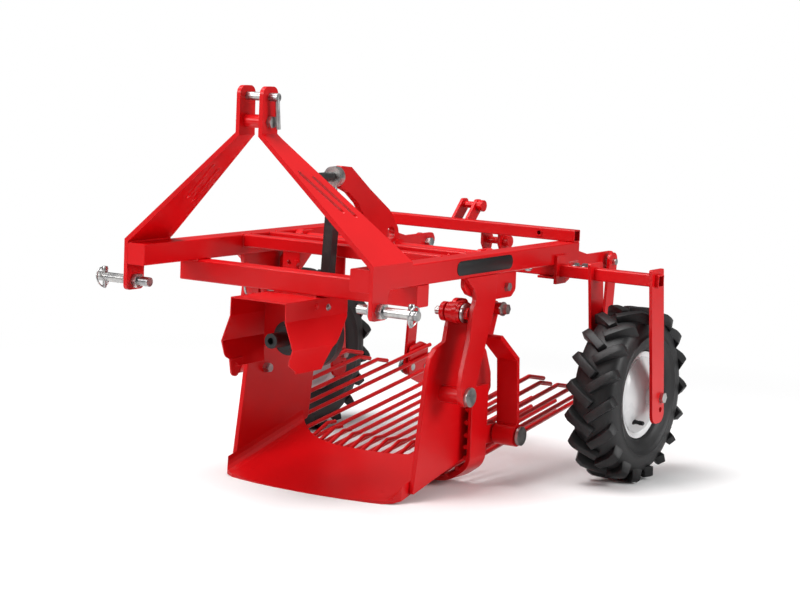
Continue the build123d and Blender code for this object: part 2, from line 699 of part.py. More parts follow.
def wheel_forks():
    """The plates on both sides of each wheel."""
    forks = []
    for side, centre in WHEEL_XS.items():
        for inner in (centre - FORK_IN[side], centre + FORK_OUT):
            hole = box(inner - 2, inner + 10, WHEEL_TUBE_Y - 15, WHEEL_TUBE_Y + 15, BEAM_LOW - TUBE, BEAM_LOW)
            plate = plate_x(FORK_PLATE, inner, inner + FORK_T, holes=((AXLE_Y, AXLE_Z, 8 + RUN), (AXLE_Y - 2, AXLE_Z - 29, 7)))
            forks.append(on_side(plate - hole, side))
    return forks


def on_side(shape, side):
    """A right-hand shape, or its mirror image on the left."""
    return shape if side > 0 else mirror(shape, Plane.YZ)


def wheel_axles():
    """The bolts the wheels turn on."""
    bolts = []
    for side, centre in WHEEL_XS.items():
        inner = centre - FORK_IN[side]
        outer = centre + FORK_OUT + FORK_T
        bolt = bar_x(inner - 12, outer + 9, AXLE_Y, AXLE_Z, 8)
        bolt += hex_x(outer, outer + 9, AXLE_Y, AXLE_Z, 13.5)
        bolt += hex_x(inner - 11, inner, AXLE_Y, AXLE_Z, 13.5)
        bolts.append(on_side(bolt, side))
    return bolts


RIM_RING = ((-38, 108), (-31, 108), (-29, 98), (29, 98), (31, 108), (38, 108), (38, 103), (33, 93), (-33, 93), (-38, 103))
RIM_DISC = ((28, 94), (34, 94), (62, 34), (62, 20), (56, 20), (56, 31))


def rim(side):
    """A steel wheel: rolled ring, dished disc and hub tube."""
    ring = revolve(Plane.XY * Polygon(*RIM_RING, align=None), Axis.X)
    disc = revolve(Plane.XY * Polygon(*RIM_DISC, align=None), Axis.X)
    hub = bar_x(3 - FORK_IN[side] + FORK_T, FORK_OUT - 3, 0, 0, 22)
    whole = ring + disc + hub - bar_x(-120, 90, 0, 0, 8 + RUN)
    return [on_side(Pos(WHEEL_XS[side], AXLE_Y, AXLE_Z) * whole, side)]


TYRE_PROFILE = (
    # across the wheel, radius
    (-28.5, 98.5), (28.5, 98.5), (30.5, 110), (45, 113), (56, 146), (58, 168), (50, 192), (0, 200), (-50, 192), (-58, 168),
    (-56, 146), (-45, 113), (-30.5, 110),
)
TYRE_SIDES = 54
LUG_PROFILE = ((-6, 190), (-6, 215.5), (58, 213), (74, 203), (74, 176), (60, 180))
LUG_COUNT = 18
LUG_HALF = 11.0
LUG_ANGLE = 36.0


def tyre_body():
    """The tyre without its lugs, in flat facets."""
    rings = []
    for i in range(TYRE_SIDES):
        turn = radians((i + 0.5) * 360 / TYRE_SIDES)
        rings.append([Vector(x, r * cos(turn), r * sin(turn)) for x, r in TYRE_PROFILE])
    faces = []
    rows = len(TYRE_PROFILE)
    for i in range(TYRE_SIDES):
        near = rings[i]
        far = rings[(i + 1) % TYRE_SIDES]
        for j in range(rows):
            k = (j + 1) % rows
            faces.append(Face(Wire.make_polygon([near[j], near[k], far[k], far[j]], close=True)))
    return Solid(Shell(faces))


def tyre(side):
    """A tyre with slanted lugs from its middle to its shoulders."""
    lug = extrude(Plane.XZ * Polygon(*LUG_PROFILE, align=None), LUG_HALF, both=True)
    right = Rot(0, 0, LUG_ANGLE) * lug
    left = mirror(right, Plane.YZ)
    lugs = []
    for i in range(LUG_COUNT):
        turn = 360 / LUG_COUNT
        lugs += [Rot(i * turn, 0, 0) * right, Rot((i + 0.5) * turn, 0, 0) * left]
    whole = tyre_body().fuse(*lugs)
    return [on_side(Pos(WHEEL_XS[side], AXLE_Y, AXLE_Z) * whole, side)]


NODES = {
    "side_beams": side_beams,
    "front_cross_beam": front_cross_beam,
    "middle_cross_tubes": middle_cross_tubes,
    "rear_cross_tube": rear_cross_tube,
    "rear_clevis": rear_clevis,
    "tube_straps": tube_straps,
    "hitch_tower": hitch_tower,
    "tower_spacer": tower_spacer,
    "tower_bolt": tower_bolt,
    "top_hitch_pin": top_hitch_pin,
    "lower_hitch_pins": lower_hitch_pins,
    "shaft_guard": shaft_guard,
    "drive_bearing": drive_bearing,
    "drive_shaft": drive_shaft,
    "flywheel": flywheel,
    "connecting_rod": connecting_rod,
    "rod_end": rod_end,
    "rocker_shaft": rocker_shaft,
    "rocker_bearings": rocker_bearings,
    "rocker_arm": rocker_arm,
    "eye_bolt": eye_bolt,
    "swing_arms": swing_arms,
    "rocker_levers": rocker_levers,
    "arm_bolts": arm_bolts,
    "beam_lugs": beam_lugs,
    "lug_bolts": lug_bolts,
    "share_legs": share_legs,
    "share_sides": share_sides,
    "share_blade": share_blade,
    "share_spacers": share_spacers,
    "share_bolts": share_bolts,
    "pin_washers": pin_washers,
    "sieve_hoop": sieve_hoop,
    "sieve_rods": sieve_rods,
    "sieve_brackets": sieve_brackets,
    "hanger_plates": hanger_plates,
    "hanger_pins": hanger_pins,
    "rear_links": rear_links,
    "link_bolts": link_bolts,
    "hub_bolts": hub_bolts,
    "wheel_tube": wheel_tube,
    "tube_clamps": tube_clamps,
    "wheel_forks": wheel_forks,
    "wheel_axles": wheel_axles,
    "right_rim": lambda: rim(1),
    "left_rim": lambda: rim(-1),
    "right_tyre": lambda: tyre(1),
    "left_tyre": lambda: tyre(-1),
}


def main():
    """Write one STEP file for each node."""
    os.makedirs("parts", exist_ok=True)
    for name, make in NODES.items():
        solids = [Pos(0, -MID_Y, FLOOR) * solid for shape in make() for solid in shape.solids()]
        export_step(Compound(children=solids), f"parts/{name}.step")


if __name__ == "__main__":
    main()
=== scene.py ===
"""Finishes, trim and a studio for a mounted potato digger. Metres: +X right, +Y to the rear, +Z up."""

import json
from math import cos, pi, radians, sin, tau

import bmesh
import bpy
from mathutils import Matrix, Vector


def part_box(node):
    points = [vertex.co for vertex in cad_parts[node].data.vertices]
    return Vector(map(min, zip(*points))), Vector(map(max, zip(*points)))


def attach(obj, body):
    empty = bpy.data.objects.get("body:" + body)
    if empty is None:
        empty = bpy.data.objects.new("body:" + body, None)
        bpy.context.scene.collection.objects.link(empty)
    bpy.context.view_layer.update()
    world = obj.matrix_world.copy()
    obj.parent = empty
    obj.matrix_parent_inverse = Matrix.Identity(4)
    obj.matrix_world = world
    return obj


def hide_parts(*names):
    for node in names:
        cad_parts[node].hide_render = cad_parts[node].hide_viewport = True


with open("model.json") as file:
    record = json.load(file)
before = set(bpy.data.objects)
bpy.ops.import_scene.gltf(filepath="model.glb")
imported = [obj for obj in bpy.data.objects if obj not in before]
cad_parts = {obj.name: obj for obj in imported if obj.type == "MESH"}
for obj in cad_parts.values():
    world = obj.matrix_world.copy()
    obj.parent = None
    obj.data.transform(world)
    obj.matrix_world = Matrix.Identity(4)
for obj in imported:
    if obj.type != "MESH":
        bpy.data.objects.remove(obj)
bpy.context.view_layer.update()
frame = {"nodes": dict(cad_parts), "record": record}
NODES = frame["nodes"]
BODY_OF = {}
for body, members in frame["record"]["behaviour"]["bodies"].items():
    for member in members:
        BODY_OF[member] = body


# ---------------------------------------------------------------- camera

CAMERA_AZIMUTH = radians(32.2)
CAMERA_ELEVATION = radians(7.5)
CAMERA_ROLL = radians(2.4)
CAMERA_TARGET = Vector((0.1049, -0.1414, 0.4360))
CAMERA_DISTANCE = 5.1843
CAMERA_LENS = 97.59
CAMERA_SHIFT = 0.0044


def set_camera():
    """A long lens, a little above the frame, from the front right."""
    forward = Vector((
        -sin(CAMERA_AZIMUTH) * cos(CAMERA_ELEVATION),
        cos(CAMERA_AZIMUTH) * cos(CAMERA_ELEVATION),
        -sin(CAMERA_ELEVATION),
    ))
    level = Vector((cos(CAMERA_AZIMUTH), sin(CAMERA_AZIMUTH), 0))
    upright = level.cross(forward)
    right = level * cos(CAMERA_ROLL) + upright * sin(CAMERA_ROLL)
    up = upright * cos(CAMERA_ROLL) - level * sin(CAMERA_ROLL)
    turn = Matrix((right, up, -forward)).transposed().to_4x4()
    data = bpy.data.cameras.new("camera")
    data.lens = CAMERA_LENS
    data.sensor_width = 36
    data.shift_y = CAMERA_SHIFT
    data.clip_end = 100
    camera = bpy.data.objects.new("camera", data)
    camera.matrix_world = Matrix.Translation(CAMERA_TARGET - forward * CAMERA_DISTANCE) @ turn
    bpy.context.scene.collection.objects.link(camera)
    bpy.context.scene.camera = camera


set_camera()


# ---------------------------------------------------------------- finishes

class Value:
    """One output of a shader node, used in sums as a number is."""

    def __init__(self, finish, socket):
        self.finish = finish
        self.socket = socket

    def work(self, operation, first, second=0.0):
        """A Math node on two values."""
        return self.finish.add("ShaderNodeMath", {"operation": operation}, {0: first, 1: second})

    def __add__(self, other):
        return self.work("ADD", self, other)

    def __radd__(self, other):
        return self.work("ADD", other, self)

    def __mul__(self, other):
        return self.work("MULTIPLY", self, other)

    def __rmul__(self, other):
        return self.work("MULTIPLY", other, self)


class Finish:
    """A material, its shader and the nodes that feed it."""

    def __init__(self, name, fixed=None):
        self.material = bpy.data.materials.new(name)
        self.material.use_nodes = True
        self.tree = self.material.node_tree
        self.shader = self.tree.nodes["Principled BSDF"]
        for label, value in (fixed or {}).items():
            self.shader.inputs[label].default_value = value
        self.place = self.add("ShaderNodeTexCoord", out="Object")

    def add(self, kind, settings=None, sockets=None, out=0):
        """A node of one kind: its settings first, then the values or links of its sockets."""
        node = self.tree.nodes.new(kind)
        for label, value in (settings or {}).items():
            setattr(node, label, value)
        for label, value in (sockets or {}).items():
            if isinstance(label, int):
                socket = node.inputs[label]
            else:
                socket = next(s for s in node.inputs if s.identifier == label)
            if isinstance(value, Value):
                self.tree.links.new(value.socket, socket)
            else:
                socket.default_value = value
        return Value(self, node.outputs[out])

    def noise(self, scale, detail=3.0, rough=0.55, place=None):
        """Even noise around a half."""
        sockets = {"Vector": place or self.place, "Scale": scale, "Detail": detail, "Roughness": rough}
        return self.add("ShaderNodeTexNoise", None, sockets)

    def stretch(self, x, y, z):
        """The place with its axes scaled, for grain that runs one way."""
        return self.add("ShaderNodeMapping", None, {"Vector": self.place, "Scale": (x, y, z)})

    def clip(self, value, low, high):
        """A value's part between two limits, as 0 to 1."""
        settings = {"interpolation_type": "SMOOTHSTEP"}
        return self.add("ShaderNodeMapRange", settings, {0: value, 1: low, 2: high})

    def mix(self, factor, first, second):
        """A colour between two colours."""
        sockets = {"Factor_Float": factor, "A_Color": first, "B_Color": second}
        settings = {"data_type": "RGBA"}
        node = self.add("ShaderNodeMix", settings, sockets)
        socket = next(s for s in node.socket.node.outputs if s.identifier == "Result_Color")
        return Value(self, socket)

    def bump(self, height, strength, distance=0.001):
        """A bumped surface."""
        sockets = {"Height": height, "Strength": strength, "Distance": distance}
        return self.add("ShaderNodeBump", None, sockets)

    def feed(self, **sockets):
        """Links values to the shader."""
        for label, value in sockets.items():
            self.tree.links.new(value.socket, self.shader.inputs[label.replace("_", " ")])
        return self.material


def red_enamel():
    """Sprayed gloss enamel with a faint orange peel."""
    coat = Finish("red_enamel", {"Specular IOR Level": 0.3, "Coat Weight": 0.1, "Coat Roughness": 0.2})
    cloud = coat.noise(4.0, 2.0)
    speck = coat.noise(55.0, 2.0)
    tone = coat.mix(coat.clip(cloud, 0.3, 0.7), (0.56, 0.0012, 0.0030, 1), (0.66, 0.0018, 0.0045, 1))
    peel = coat.noise(260.0, 1.0, 0.3)
    surface = coat.bump(peel, 0.012, 0.0005)
    return coat.feed(Base_Color=tone, Roughness=cloud * 0.06 + speck * 0.02 + 0.25, Normal=surface)


def zinc_plate():
    """Bright zinc with cloudy patches and fine scratches."""
    plate = Finish("zinc_plate", {"Metallic": 1.0})
    cloud = plate.noise(45.0, 3.0)
    scratch = plate.noise(420.0, 2.0, 0.7, plate.stretch(1, 6, 6))
    tone = plate.mix(plate.clip(cloud, 0.3, 0.7), (0.34, 0.34, 0.35, 1), (0.58, 0.57, 0.55, 1))
    surface = plate.bump(scratch, 0.12, 0.0004)
    return plate.feed(Base_Color=tone, Roughness=cloud * 0.20 + scratch * 0.10 + 0.16, Normal=surface)


def black_enamel():
    """Black paint on bar and plate, a little worn to grey."""
    coat = Finish("black_enamel", {"Specular IOR Level": 0.45})
    cloud = coat.noise(24.0, 4.0)
    fine = coat.noise(300.0, 2.0)
    tone = coat.mix(coat.clip(cloud, 0.45, 0.8), (0.012, 0.012, 0.013, 1), (0.040, 0.038, 0.037, 1))
    return coat.feed(Base_Color=tone, Roughness=cloud * 0.25 + 0.27, Normal=coat.bump(fine, 0.12, 0.0008))


def cast_iron():
    """Black-painted casting with a sandy skin."""
    skin = Finish("cast_iron", {"Specular IOR Level": 0.5})
    sand = skin.noise(260.0, 5.0, 0.65)
    cloud = skin.noise(18.0, 3.0)
    tone = skin.mix(cloud, (0.006, 0.006, 0.007, 1), (0.022, 0.022, 0.023, 1))
    return skin.feed(Base_Color=tone, Roughness=sand * 0.20 + 0.24, Normal=skin.bump(sand, 0.22, 0.0010))


def tyre_rubber():
    """Dark rubber with a dull bloom and a fine moulded grain."""
    rubber = Finish("tyre_rubber", {"Specular IOR Level": 0.42})
    bloom = rubber.noise(9.0, 4.0, 0.6)
    grain = rubber.noise(520.0, 3.0, 0.7)
    tone = rubber.mix(rubber.clip(bloom, 0.35, 0.75), (0.006, 0.006, 0.0065, 1), (0.018, 0.018, 0.019, 1))
    surface = rubber.bump(grain, 0.3, 0.0007)
    return rubber.feed(Base_Color=tone, Roughness=bloom * 0.22 + grain * 0.12 + 0.33, Normal=surface)


def white_enamel():
    """White gloss paint on pressed steel."""
    coat = Finish("white_enamel", {"Coat Weight": 0.3, "Coat Roughness": 0.1})
    cloud = coat.noise(14.0, 3.0)
    peel = coat.noise(300.0, 1.5, 0.4)
    tone = coat.mix(cloud, (0.70, 0.71, 0.72, 1), (0.80, 0.80, 0.80, 1))
    return coat.feed(Base_Color=tone, Roughness=cloud * 0.14 + 0.22, Normal=coat.bump(peel, 0.06, 0.001))


def black_plastic():
    """Smooth black moulded plastic and vinyl."""
    plastic = Finish("black_plastic", {"Specular IOR Level": 0.35})
    grain = plastic.noise(600.0, 2.0)
    tone = plastic.mix(grain, (0.004, 0.004, 0.0045, 1), (0.010, 0.010, 0.011, 1))
    surface = plastic.bump(grain, 0.08, 0.0003)
    return plastic.feed(Base_Color=tone, Roughness=grain * 0.12 + 0.30, Normal=surface)


RED = red_enamel()
ZINC = zinc_plate()
BLACK = black_enamel()
CAST = cast_iron()
RUBBER = tyre_rubber()
WHITE = white_enamel()
PLASTIC = black_plastic()

SLOT_FINISH = {
    "red_paint": RED,
    "zinc": ZINC,
    "black_steel": BLACK,
    "cast_grey": CAST,
    "white_paint": WHITE,
    "tyre_rubber": RUBBER,
}
SLOT_OF = {row["node"]: row["material_slot"] for row in frame["record"]["subparts"]}


# ---------------------------------------------------------------- making pieces

def finished(name, mesh, finish, body, smooth=35):
    """Puts a mesh in the scene as a piece that rides on a body."""
    mesh.materials.clear()
    mesh.materials.append(finish)
    for polygon in mesh.polygons:
        polygon.material_index = 0
    mesh.shade_smooth()
    mesh.set_sharp_from_angle(angle=radians(smooth))
    piece = bpy.data.objects.new(name, mesh)
    bpy.context.scene.collection.objects.link(piece)
    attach(piece, body)
    return piece


def shape_from(build):
    """A mesh from a function that fills a bmesh."""
    bm = bmesh.new()
    build(bm)
    mesh = bpy.data.meshes.new("shape")
    bm.to_mesh(mesh)
    bm.free()
    return mesh


def lathe(bm, rows, sides, closed=False):
    """Turns rows of (height, radius) about Z. Rows at radius 0 close to a point."""
    rings = []
    for height, radius in rows:
        if radius <= 0:
            rings.append([bm.verts.new((0, 0, height))] * sides)
            continue
        rings.append([bm.verts.new((radius * cos(tau * i / sides), radius * sin(tau * i / sides), height))
                      for i in range(sides)])
    pairs = list(zip(rings, rings[1:]))
    if closed:
        pairs.append((rings[-1], rings[0]))
    for low, high in pairs:
        for i in range(sides):
            k = (i + 1) % sides
            corners = []
            for vert in (low[i], low[k], high[k], high[i]):
                if vert not in corners:
                    corners.append(vert)
            if len(corners) > 2:
                bm.faces.new(corners)
    bmesh.ops.recalc_face_normals(bm, faces=bm.faces)


def tube(bm, path, radius, sides=12, closed=False):
    """A round wire along points, with flat ends."""
    count = len(path)
    rings = []
    side = None
    for i, point in enumerate(path):
        before = path[i - 1] if i or closed else point
        after = path[(i + 1) % count] if i < count - 1 or closed else point
        along = (Vector(after) - Vector(before)).normalized()
        if side is None:
            side = along.orthogonal().normalized()
        side = (side - along * side.dot(along)).normalized()
        other = along.cross(side)
        ring = []
        for j in range(sides):
            turn = tau * j / sides
            ring.append(bm.verts.new(Vector(point) + (side * cos(turn) + other * sin(turn)) * radius))
        rings.append(ring)
    pairs = list(zip(rings, rings[1:]))
    if closed:
        pairs.append((rings[-1], rings[0]))
    else:
        bm.faces.new(rings[0])
        bm.faces.new(rings[-1])
    for low, high in pairs:
        for j in range(sides):
            k = (j + 1) % sides
            bm.faces.new((low[j], low[k], high[k], high[j]))
    bmesh.ops.recalc_face_normals(bm, faces=bm.faces)


AIMS = {
    # the way that a shape's own Z points: turn about X, Y, Z
    "+X": (0, pi / 2, 0), "-X": (0, -pi / 2, 0), "+Y": (-pi / 2, 0, 0), "-Y": (pi / 2, 0, 0), "+Z": (0, 0, 0),
    "-Z": (pi, 0, 0),
}


def spread_tree():
    """Geometry nodes that set a shape on each point, turned and scaled by the point's own values."""
    tree = bpy.data.node_groups.new("spread", "GeometryNodeTree")
    tree.interface.new_socket("Points", in_out="INPUT", socket_type="NodeSocketGeometry")
    tree.interface.new_socket("Shape", in_out="INPUT", socket_type="NodeSocketObject")
    tree.interface.new_socket("Finish", in_out="INPUT", socket_type="NodeSocketMaterial")
    tree.interface.new_socket("Pieces", in_out="OUTPUT", socket_type="NodeSocketGeometry")
    start = tree.nodes.new("NodeGroupInput")
    shape = tree.nodes.new("GeometryNodeObjectInfo")
    turn = tree.nodes.new("GeometryNodeInputNamedAttribute")
    turn.data_type = "FLOAT_VECTOR"
    turn.inputs["Name"].default_value = "turn"
    euler = tree.nodes.new("FunctionNodeEulerToRotation")
    grow = tree.nodes.new("GeometryNodeInputNamedAttribute")
    grow.data_type = "FLOAT"
    grow.inputs["Name"].default_value = "grow"
    place = tree.nodes.new("GeometryNodeInstanceOnPoints")
    real = tree.nodes.new("GeometryNodeRealizeInstances")
    paint = tree.nodes.new("GeometryNodeSetMaterial")
    end = tree.nodes.new("NodeGroupOutput")
    link = tree.links.new
    link(start.outputs["Shape"], shape.inputs["Object"])
    link(start.outputs["Points"], place.inputs["Points"])
    link(shape.outputs["Geometry"], place.inputs["Instance"])
    link(turn.outputs["Attribute"], euler.inputs[0])
    link(euler.outputs[0], place.inputs["Rotation"])
    link(grow.outputs["Attribute"], place.inputs["Scale"])
    link(place.outputs["Instances"], real.inputs["Geometry"])
    link(real.outputs["Geometry"], paint.inputs["Geometry"])
    link(start.outputs["Finish"], paint.inputs["Material"])
    link(paint.outputs["Geometry"], end.inputs[0])
    return tree


def bead_tree():
    """Geometry nodes that lay overlapping scales of weld along edges."""
    tree = bpy.data.node_groups.new("bead", "GeometryNodeTree")
    tree.interface.new_socket("Seams", in_out="INPUT", socket_type="NodeSocketGeometry")
    step = tree.interface.new_socket("Step", in_out="INPUT", socket_type="NodeSocketFloat")
    step.default_value = 0.0032
    size = tree.interface.new_socket("Size", in_out="INPUT", socket_type="NodeSocketFloat")
    size.default_value = 0.0042
    tree.interface.new_socket("Finish", in_out="INPUT", socket_type="NodeSocketMaterial")
    tree.interface.new_socket("Bead", in_out="OUTPUT", socket_type="NodeSocketGeometry")
    start = tree.nodes.new("NodeGroupInput")
    curve = tree.nodes.new("GeometryNodeMeshToCurve")
    even = tree.nodes.new("GeometryNodeResampleCurve")
    even.mode = "LENGTH"
    points = tree.nodes.new("GeometryNodeCurveToPoints")
    points.mode = "EVALUATED"
    scale = tree.nodes.new("GeometryNodeMeshIcoSphere")
    scale.inputs["Subdivisions"].default_value = 2
    uneven = tree.nodes.new("FunctionNodeRandomValue")
    uneven.data_type = "FLOAT"
    uneven.inputs[2].default_value = 0.85
    uneven.inputs[3].default_value = 1.15
    uneven.inputs["Seed"].default_value = 7
    place = tree.nodes.new("GeometryNodeInstanceOnPoints")
    real = tree.nodes.new("GeometryNodeRealizeInstances")
    paint = tree.nodes.new("GeometryNodeSetMaterial")
    end = tree.nodes.new("NodeGroupOutput")
    link = tree.links.new
    link(start.outputs["Seams"], curve.inputs[0])
    link(curve.outputs[0], even.inputs["Curve"])
    link(start.outputs["Step"], even.inputs["Length"])
    link(even.outputs["Curve"], points.inputs["Curve"])
    link(start.outputs["Size"], scale.inputs["Radius"])
    link(points.outputs["Points"], place.inputs["Points"])
    link(scale.outputs["Mesh"], place.inputs["Instance"])
    link(uneven.outputs[1], place.inputs["Scale"])
    link(place.outputs["Instances"], real.inputs["Geometry"])
    link(real.outputs["Geometry"], paint.inputs["Geometry"])
    link(start.outputs["Finish"], paint.inputs["Material"])
    link(paint.outputs["Geometry"], end.inputs[0])
    return tree


SPREAD = spread_tree()
BEAD = bead_tree()


def grown(tree, mesh, inputs):
    """The plain mesh that a node tree makes from a mesh."""
    source = bpy.data.objects.new("source", mesh)
    bpy.context.scene.collection.objects.link(source)
    modifier = source.modifiers.new("make", "NODES")
    modifier.node_group = tree
    for item in tree.interface.items_tree:
        if item.item_type == "SOCKET" and item.in_out == "INPUT" and item.name in inputs:
            modifier[item.identifier] = inputs[item.name]
    depsgraph = bpy.context.evaluated_depsgraph_get()
    made = bpy.data.meshes.new_from_object(source.evaluated_get(depsgraph))
    bpy.data.objects.remove(source)
    return made


def spread(name, shape, spots, finish, body, smooth=35):
    """One piece from a shape set on spots: x, y, z, turn about X, Y and Z, and size."""
    points = bpy.data.meshes.new("spots")
    points.from_pydata([spot[:3] for spot in spots], [], [])
    points.attributes.new("turn", "FLOAT_VECTOR", "POINT")
    points.attributes.new("grow", "FLOAT", "POINT")
    for i, (_, _, _, angles, size) in enumerate(spots):
        points.attributes["turn"].data[i].vector = angles
        points.attributes["grow"].data[i].value = size
    holder = bpy.data.objects.new("shape", shape)
    bpy.context.scene.collection.objects.link(holder)
    mesh = grown(SPREAD, points, {"Shape": holder, "Finish": finish})
    bpy.data.objects.remove(holder)
    return finished(name, mesh, finish, body, smooth)


def weld(name, seams, body, size=0.0028):
    """Painted beads of weld along open lines of points."""
    verts = []
    edges = []
    for seam in seams:
        first = len(verts)
        verts += [Vector(point) for point in seam]
        edges += [(first + i, first + i + 1) for i in range(len(seam) - 1)]
    lines = bpy.data.meshes.new("seams")
    lines.from_pydata(verts, edges, [])
    mesh = grown(BEAD, lines, {"Step": size * 0.75, "Size": size, "Finish": RED})
    return finished(name, mesh, RED, body, 80)


FOLD_ANGLE = 21


def dressed(node, width=0.0012):
    """A CAD node with its sharp edges rounded and its own finish."""
    bm = bmesh.new()
    bm.from_mesh(NODES[node].data)
    bmesh.ops.remove_doubles(bm, verts=bm.verts, dist=2e-6)
    bmesh.ops.dissolve_limit(bm, angle_limit=radians(1.0), verts=bm.verts, edges=bm.edges)
    mesh = bpy.data.meshes.new(node)
    bm.to_mesh(mesh)
    bm.free()
    mesh.shade_smooth()
    mesh.set_sharp_from_angle(angle=radians(FOLD_ANGLE))
    source = bpy.data.objects.new("source", mesh)
    bpy.context.scene.collection.objects.link(source)
    bevel = source.modifiers.new("edges", "BEVEL")
    bevel.width = width
    bevel.segments = 2
    bevel.limit_method = "ANGLE"
    bevel.angle_limit = radians(40)
    bevel.use_clamp_overlap = True
    flat = source.modifiers.new("shading", "WEIGHTED_NORMAL")
    flat.keep_sharp = True
    depsgraph = bpy.context.evaluated_depsgraph_get()
    made = bpy.data.meshes.new_from_object(source.evaluated_get(depsgraph))
    bpy.data.objects.remove(source)
    slot = SLOT_OF[node]
    made.materials.clear()
    made.materials.append(SLOT_FINISH[slot])
    piece = bpy.data.objects.new(node + "_dressed", made)
    bpy.context.scene.collection.objects.link(piece)
    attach(piece, BODY_OF[node])
    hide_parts(node)
    return piece


# ---------------------------------------------------------------- the frame's nodes

PLATE_WORK = (
    "side_beams", "front_cross_beam", "middle_cross_tubes", "rear_cross_tube", "rear_clevis", "tube_straps",
    "hitch_tower", "shaft_guard", "rocker_arm", "rocker_levers", "swing_arms", "beam_lugs", "share_legs",
    "share_sides", "sieve_hoop", "sieve_brackets", "hanger_plates", "rear_links", "wheel_tube", "tube_clamps",
    "wheel_forks", "connecting_rod",
)

for node, piece in NODES.items():
    piece.data.materials.clear()
    piece.data.materials.append(SLOT_FINISH[SLOT_OF[node]])

for node in PLATE_WORK:
    dressed(node)


# ---------------------------------------------------------------- fasteners

def hex_bolt(bm):
    """A bolt head on a washer, one unit of head radius, pointing along Z."""
    lathe(bm, ((0, 0), (0, 1.45), (0.14, 1.5), (0.22, 1.45), (0.22, 0)), 28)
    head = bmesh.ops.create_circle(bm, cap_ends=True, radius=1.0, segments=6)
    bmesh.ops.translate(bm, verts=head["verts"], vec=(0, 0, 0.2))
    cap = [face for face in bm.faces if len(face.verts) == 6 and all(v in head["verts"] for v in face.verts)]
    grown_up = bmesh.ops.extrude_face_region(bm, geom=cap)
    tops = [v for v in grown_up["geom"] if isinstance(v, bmesh.types.BMVert)]
    bmesh.ops.translate(bm, verts=tops, vec=(0, 0, 0.72))
    rim = [e for e in bm.edges if e.verts[0] in tops and e.verts[1] in tops]
    bmesh.ops.bevel(bm, geom=rim, offset=0.12, segments=2, affect="EDGES", profile=0.5)


def sunk_screw(bm):
    """A flat countersunk head with a round socket, one unit of head radius."""
    lathe(bm, ((-0.5, 0), (-0.5, 0.5), (0.0, 1.0), (0.05, 0.97), (0.05, 0.5), (-0.25, 0.45), (-0.25, 0)), 24)


HEX_BOLT = shape_from(hex_bolt)
SUNK_SCREW = shape_from(sunk_screw)

low_beam, high_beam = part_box("side_beams")
low_tube, high_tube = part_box("wheel_tube")
low_guard, high_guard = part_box("shaft_guard")
low_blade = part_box("share_blade")[0]
low_bracket, high_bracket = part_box("sieve_brackets")
TUBE_MID = (low_tube.y + high_tube.y) / 2
BRACKET_T = 0.0076
BRACKET_BOLT_Y = high_bracket.y - 0.015
BRACKET_BOLT_Z = 0.152
GUARD_BOLT_X = low_guard.x + 0.178
GUARD_BOLT_R = 0.0055
CLAMP_BOLT_XS = (0.376, 0.401)
CLAMP_BOLT_R = 0.0085
BEAM_BOLT_X = 0.319
BEAM_BOLT_Y = low_beam.y + 0.725
BEAM_BOLT_R = 0.0075

FRAME_BOLTS = [
    # x, y, z, aim, head radius
    (GUARD_BOLT_X, low_guard.y + 0.167, high_guard.z - 0.027, "+X", GUARD_BOLT_R),
]
PAINTED_BOLTS = [
    # x, y, z, aim, head radius
    (GUARD_BOLT_X, low_guard.y + 0.118, high_guard.z - 0.021, "+X", GUARD_BOLT_R),
]
for side in (1, -1):
    for x in CLAMP_BOLT_XS:
        FRAME_BOLTS.append((side * x, TUBE_MID, high_tube.z, "+Z", CLAMP_BOLT_R))
    FRAME_BOLTS.append((side * BEAM_BOLT_X, BEAM_BOLT_Y, low_beam.z, "-Z", BEAM_BOLT_R))

SIEVE_BOLTS = [
    # x, y, z, aim, head radius
    (high_bracket.x - BRACKET_T, BRACKET_BOLT_Y, BRACKET_BOLT_Z, "-X", 0.0065),
    (low_bracket.x + BRACKET_T, BRACKET_BOLT_Y, BRACKET_BOLT_Z, "+X", 0.0065),
]

for name, rows, finish, body, slot in (
    ("frame_bolts", FRAME_BOLTS, ZINC, "frame", "zinc"),
    ("painted_bolts", PAINTED_BOLTS, RED, "frame", "red_paint"),
    ("sieve_bolts", SIEVE_BOLTS, ZINC, "sieve", "zinc"),
):
    spread(name, HEX_BOLT, [(x, y, z, AIMS[aim], size) for x, y, z, aim, size in rows], finish, body)

BLADE_SLOPE = 0.24
BLADE_SCREWS = (
    # x, distance behind the blade's tip, head radius
    (-0.188, 0.070, 0.007), (-0.188, 0.244, 0.007), (0.188, 0.070, 0.007), (0.188, 0.244, 0.007),
    (-0.095, 0.045, 0.0045), (-0.014, 0.040, 0.0045), (0.067, 0.040, 0.0045), (0.148, 0.050, 0.0045),
)
spread(
    "blade_screws", SUNK_SCREW,
    [(x, low_blade.y + back, low_blade.z + 0.002 + BLADE_SLOPE * back, (BLADE_SLOPE, 0, 0), size)
     for x, back, size in BLADE_SCREWS],
    RED, "frame",
)


# ---------------------------------------------------------------- linch pins

low_pins, high_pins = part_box("lower_hitch_pins")
PIN_Y = (low_pins.y + high_pins.y) / 2
PIN_Z = (low_pins.z + high_pins.z) / 2
PIN_HOLE_X = high_pins.x - 0.018
LINCH_ROWS = (
    # up the bar, radius: point, shank and head
    (-0.027, 0), (-0.027, 0.003), (-0.024, 0.0047), (0.013, 0.0047), (0.014, 0.0075), (0.020, 0.0078),
    (0.024, 0.0060), (0.025, 0),
)


